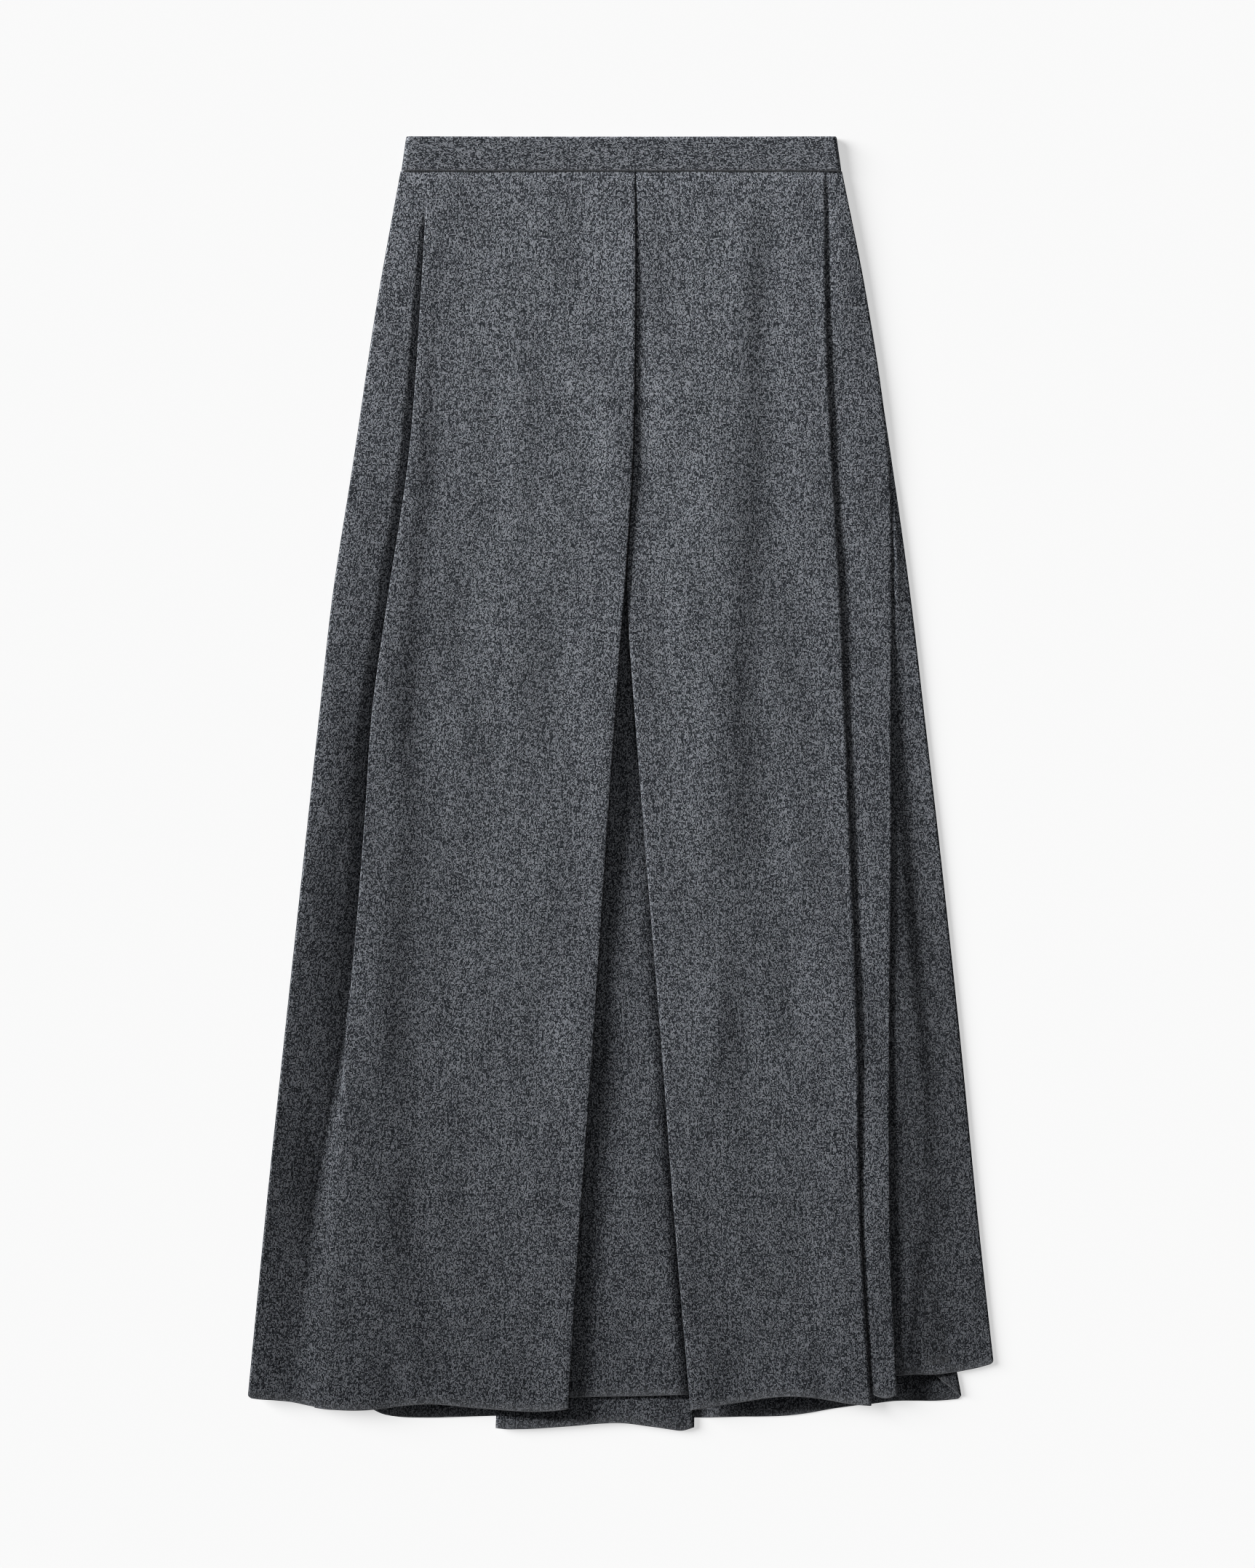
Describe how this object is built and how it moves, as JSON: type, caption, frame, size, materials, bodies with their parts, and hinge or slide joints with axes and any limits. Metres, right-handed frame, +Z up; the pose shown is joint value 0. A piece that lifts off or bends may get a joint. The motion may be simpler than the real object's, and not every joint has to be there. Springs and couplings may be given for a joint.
{
  "type": "maxi skirt",
  "caption": "Flared wool maxi skirt laid flat, with a plain waistband, an inverted centre pleat and side pleats that open towards an uneven hem.",
  "frame": {"origin": "middle of the laid skirt's outline, on the surface that it lies on", "axes": "+Z up, away from the surface, out of the skirt's front; +Y from hem to waistband; +X to the right of the skirt as it is seen from above with the waistband at the top"},
  "size_m": [0.593, 1.0314, 0.0117],
  "materials": {
    "wool": "grey melange wool flannel, matt, softly brushed, fine twill under the nap",
    "waistband_wool": "the same wool, doubled over interfacing, its grain running along the band"
  },
  "bodies": {
    "root": {"waistband_front": "waistband_wool", "waistband_back": "waistband_wool", "front_left": "wool", "front_right": "wool", "front_pleat_underlay": "wool", "back_left": "wool", "back_right": "wool", "back_pleat_underlay": "wool"}
  },
  "joints": []
}
